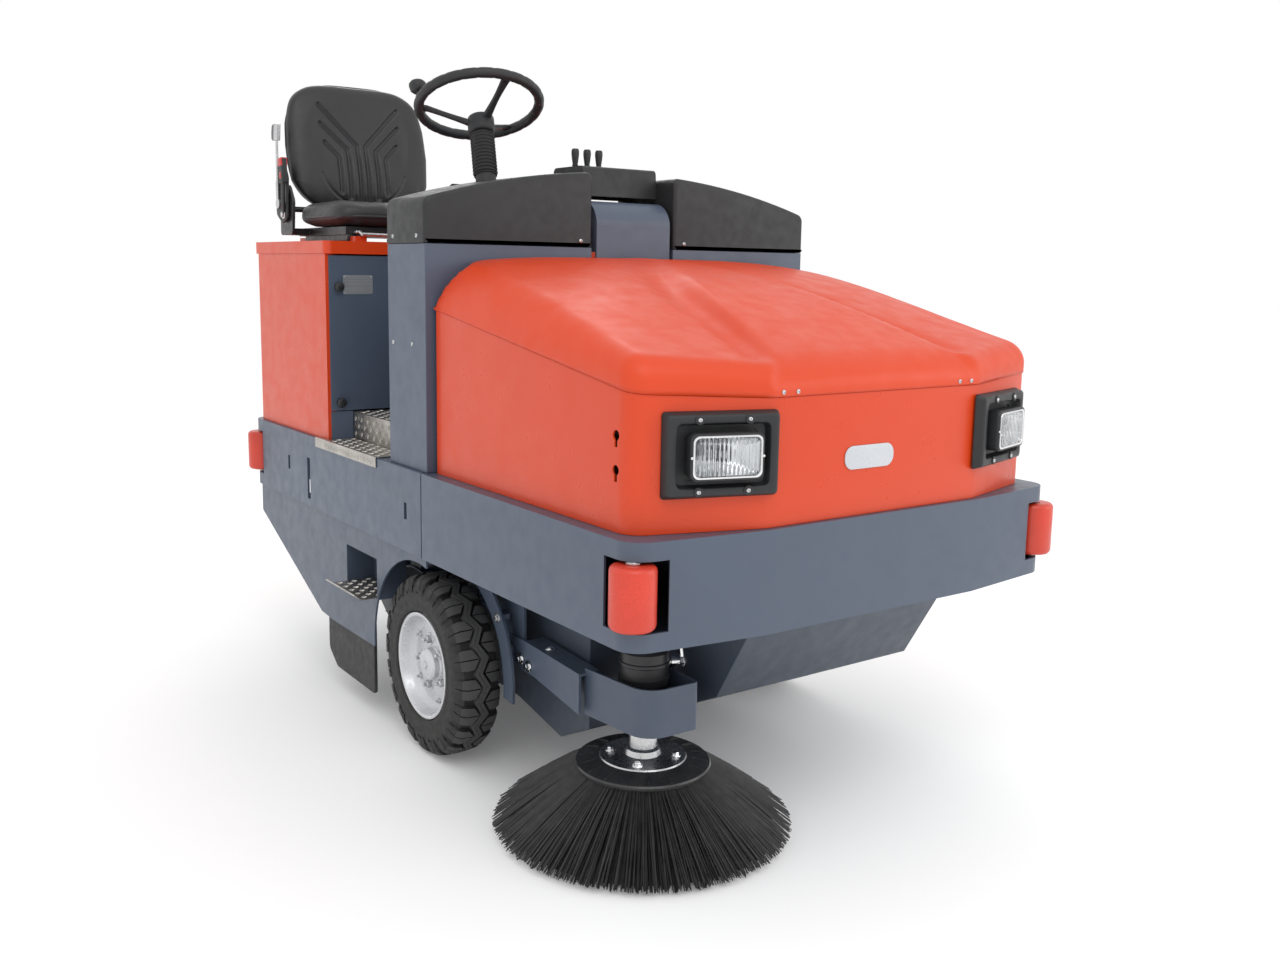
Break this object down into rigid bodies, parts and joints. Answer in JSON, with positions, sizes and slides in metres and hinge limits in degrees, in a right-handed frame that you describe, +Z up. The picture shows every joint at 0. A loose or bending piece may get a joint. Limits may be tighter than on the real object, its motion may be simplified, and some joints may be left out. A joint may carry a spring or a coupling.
{
  "type": "ride-on sweeper",
  "caption": "Ride-on sweeper with a lifting front hopper, hinged hood, driver's seat, steered rear wheel, main broom and side brush.",
  "frame": {"origin": "under the middle of the machine's outline, on the floor", "axes": "+Z up; the machine drives towards -Y; its right side (side brush, steps, driver) is -X"},
  "size_m": [1.191, 1.9868, 1.613],
  "materials": {
    "slate_paint": "powder coat, satin",
    "dark_paint": "powder coat, satin",
    "orange_paint": "gloss paint",
    "orange_moulding": "fine moulded grain",
    "orange_roller": "cast polyurethane",
    "black_plastic": "fine moulded grain",
    "black_metal": "satin black paint",
    "black_vinyl": "grained vinyl over foam",
    "tyre": "moulded rubber",
    "rubber": "sheet rubber",
    "zinc_steel": "zinc plated",
    "rim_silver": "silver paint",
    "tread_aluminium": "five-bar tread plate",
    "bristle": "crimped filament",
    "lamp_glass": "prismatic lens",
    "filter_paper": "pleated filter cloth",
    "battery_case": "polypropylene cells in a tray"
  },
  "bodies": {
    "chassis": {"rear_frame": "slate_paint", "right_side_plate": "slate_paint", "left_side_plate": "slate_paint", "boarding_step": "tread_aluminium", "tread_plates": "tread_aluminium", "right_tower": "slate_paint", "left_tower": "slate_paint", "right_tower_cover": "black_plastic", "left_tower_cover": "black_plastic", "lever_console": "black_plastic", "tank_cover": "slate_paint", "rear_body_shell": "orange_paint", "traction_battery": "battery_case", "hydraulic_power_unit": "zinc_steel", "steering_column": "black_plastic", "lift_pivot_shaft": "zinc_steel", "lift_cylinder": "black_metal", "broom_housing": "slate_paint", "broom_side_flaps": "rubber"},
    "battery_door": {"battery_door": "slate_paint"},
    "upper_latch": {"upper_door_latch": "black_plastic"},
    "lower_latch": {"lower_door_latch": "black_plastic"},
    "steering_wheel": {"steering_wheel": "black_plastic"},
    "lift_rod": {"lift_cylinder_rod": "zinc_steel"},
    "broom_carrier": {"broom_arms": "slate_paint"},
    "main_broom": {"main_broom_core": "black_plastic", "main_broom_bristles": "bristle"},
    "front_right_roller": {"front_right_roller": "orange_roller"},
    "front_left_roller": {"front_left_roller": "orange_roller"},
    "rear_right_roller": {"rear_right_roller": "orange_roller"},
    "rear_left_roller": {"rear_left_roller": "orange_roller"},
    "hopper_lever": {"hopper_lever": "black_plastic"},
    "broom_lever": {"broom_lever": "black_plastic"},
    "side_brush_lever": {"side_brush_lever": "black_plastic"},
    "drive_pedal": {"drive_pedal": "black_metal"},
    "brake_pedal": {"brake_pedal": "black_metal"},
    "seat_deck": {"seat_deck": "orange_paint"},
    "seat": {"seat_frame": "black_metal", "seat_cushion": "black_vinyl"},
    "backrest": {"seat_backrest": "black_vinyl"},
    "recline_lever": {"recline_lever": "zinc_steel"},
    "right_front_wheel": {"right_front_tyre": "tyre", "right_front_rim": "rim_silver"},
    "left_front_wheel": {"left_front_tyre": "tyre", "left_front_rim": "rim_silver"},
    "steered_fork": {"rear_fork": "dark_paint"},
    "rear_wheel": {"rear_tyre": "tyre", "rear_rim": "rim_silver"},
    "hopper": {"hopper_frame": "slate_paint", "hopper_bin": "dark_paint", "hopper_cover": "orange_paint", "headlight_frames": "black_plastic", "headlamps": "lamp_glass", "dust_filter": "filter_paper", "lift_arm": "slate_paint"},
    "hood": {"hood": "orange_moulding"},
    "brush_carrier": {"brush_arm": "slate_paint", "brush_motor": "black_metal"},
    "side_brush": {"side_brush_disc": "zinc_steel", "side_brush_bristles": "bristle"}
  },
  "joints": [
    {"name": "hopper_lift", "type": "hinge", "parent": "chassis", "child": "hopper", "pos_m": [0.0205, -0.10359, 1.205], "axis": [-1, 0, 0], "range_deg": [0, 85]},
    {"name": "hood_open", "type": "hinge", "parent": "hopper", "child": "hood", "pos_m": [0.0205, -0.96659, 0.889], "axis": [1, 0, 0], "range_deg": [0, 55]},
    {"name": "lift_cylinder_stroke", "type": "slide", "parent": "chassis", "child": "lift_rod", "axis": [0, 0, -1], "range_m": [0, 0.1226]},
    {"name": "side_brush_lift", "type": "hinge", "parent": "hopper", "child": "brush_carrier", "pos_m": [-0.3915, -0.30859, 0.284], "axis": [-1, 0, 0], "range_deg": [0, 10]},
    {"name": "side_brush_spin", "type": "hinge", "parent": "brush_carrier", "child": "side_brush", "pos_m": [-0.2945, -0.66359, 0.137], "axis": [0, 0, 1], "continuous": true},
    {"name": "broom_lift", "type": "hinge", "parent": "chassis", "child": "broom_carrier", "pos_m": [0.0205, 0.45641, 0.3], "axis": [-1, 0, 0], "range_deg": [0, 5]},
    {"name": "broom_spin", "type": "hinge", "parent": "broom_carrier", "child": "main_broom", "pos_m": [0.0205, 0.22641, 0.16], "axis": [1, 0, 0], "continuous": true},
    {"name": "right_front_wheel_spin", "type": "hinge", "parent": "chassis", "child": "right_front_wheel", "pos_m": [-0.4635, -0.10359, 0.208], "axis": [1, 0, 0], "continuous": true},
    {"name": "left_front_wheel_spin", "type": "hinge", "parent": "chassis", "child": "left_front_wheel", "pos_m": [0.5045, -0.10359, 0.208], "axis": [1, 0, 0], "continuous": true},
    {"name": "rear_steer", "type": "hinge", "parent": "chassis", "child": "steered_fork", "pos_m": [0.0205, 0.72641, 0.44], "axis": [0, 0, 1], "range_deg": [-80, 80]},
    {"name": "rear_wheel_spin", "type": "hinge", "parent": "steered_fork", "child": "rear_wheel", "pos_m": [0.0205, 0.72641, 0.208], "axis": [1, 0, 0], "continuous": true},
    {"name": "steering_wheel_turn", "type": "hinge", "parent": "chassis", "child": "steering_wheel", "pos_m": [-0.2545, 0.09241, 1.484], "axis": [0.113, 0.3746, 0.9203], "range_deg": [-360, 360]},
    {"name": "seat_deck_tilt", "type": "hinge", "parent": "chassis", "child": "seat_deck", "pos_m": [0.0205, 0.95241, 1.141], "axis": [-1, 0, 0], "range_deg": [0, 50]},
    {"name": "seat_slide", "type": "slide", "parent": "seat_deck", "child": "seat", "axis": [0, 1, 0], "range_m": [-0.06, 0.06]},
    {"name": "backrest_recline", "type": "hinge", "parent": "seat", "child": "backrest", "pos_m": [-0.2545, 0.81541, 1.257], "axis": [-1, 0, 0], "range_deg": [-5, 20]},
    {"name": "recline_lever_lift", "type": "hinge", "parent": "seat", "child": "recline_lever", "pos_m": [-0.4945, 0.81541, 1.271], "axis": [-1, 0, 0], "range_deg": [0, 20]},
    {"name": "battery_door_swing", "type": "hinge", "parent": "chassis", "child": "battery_door", "pos_m": [-0.0455, 0.40711, 0.93], "axis": [0, 0, 1], "range_deg": [0, 32]},
    {"name": "upper_latch_turn", "type": "hinge", "parent": "battery_door", "child": "upper_latch", "pos_m": [-0.4885, 0.41141, 1.051], "axis": [0, 1, 0], "range_deg": [0, 90]},
    {"name": "lower_latch_turn", "type": "hinge", "parent": "battery_door", "child": "lower_latch", "pos_m": [-0.4885, 0.41141, 0.757], "axis": [0, 1, 0], "range_deg": [0, 90]},
    {"name": "hopper_lever_move", "type": "hinge", "parent": "chassis", "child": "hopper_lever", "pos_m": [-0.0555, -0.01959, 1.328], "axis": [1, 0, 0], "range_deg": [-15, 15]},
    {"name": "broom_lever_move", "type": "hinge", "parent": "chassis", "child": "broom_lever", "pos_m": [-0.0215, -0.01959, 1.328], "axis": [1, 0, 0], "range_deg": [-15, 15]},
    {"name": "side_brush_lever_move", "type": "hinge", "parent": "chassis", "child": "side_brush_lever", "pos_m": [0.0125, -0.01959, 1.328], "axis": [1, 0, 0], "range_deg": [-15, 15]},
    {"name": "drive_pedal_press", "type": "hinge", "parent": "chassis", "child": "drive_pedal", "pos_m": [-0.1695, 0.14641, 0.7393], "axis": [1, 0, 0], "range_deg": [0, 15]},
    {"name": "brake_pedal_press", "type": "hinge", "parent": "chassis", "child": "brake_pedal", "pos_m": [-0.3295, 0.14641, 0.7393], "axis": [1, 0, 0], "range_deg": [0, 15]},
    {"name": "front_right_roller_spin", "type": "hinge", "parent": "hopper", "child": "front_right_roller", "pos_m": [-0.5135, -0.92359, 0.565], "axis": [0, 0, 1], "continuous": true},
    {"name": "front_left_roller_spin", "type": "hinge", "parent": "hopper", "child": "front_left_roller", "pos_m": [0.5545, -0.92359, 0.565], "axis": [0, 0, 1], "continuous": true},
    {"name": "rear_right_roller_spin", "type": "hinge", "parent": "chassis", "child": "rear_right_roller", "pos_m": [-0.5135, 0.95241, 0.565], "axis": [0, 0, 1], "continuous": true},
    {"name": "rear_left_roller_spin", "type": "hinge", "parent": "chassis", "child": "rear_left_roller", "pos_m": [0.5545, 0.95241, 0.565], "axis": [0, 0, 1], "continuous": true}
  ],
  "couplings": [
    {"joint": "lift_cylinder_stroke", "follows": "hopper_lift", "m_per_rad": 0.08252},
    {"joint": "steering_wheel_turn", "follows": "rear_steer", "ratio": -4.5}
  ]
}
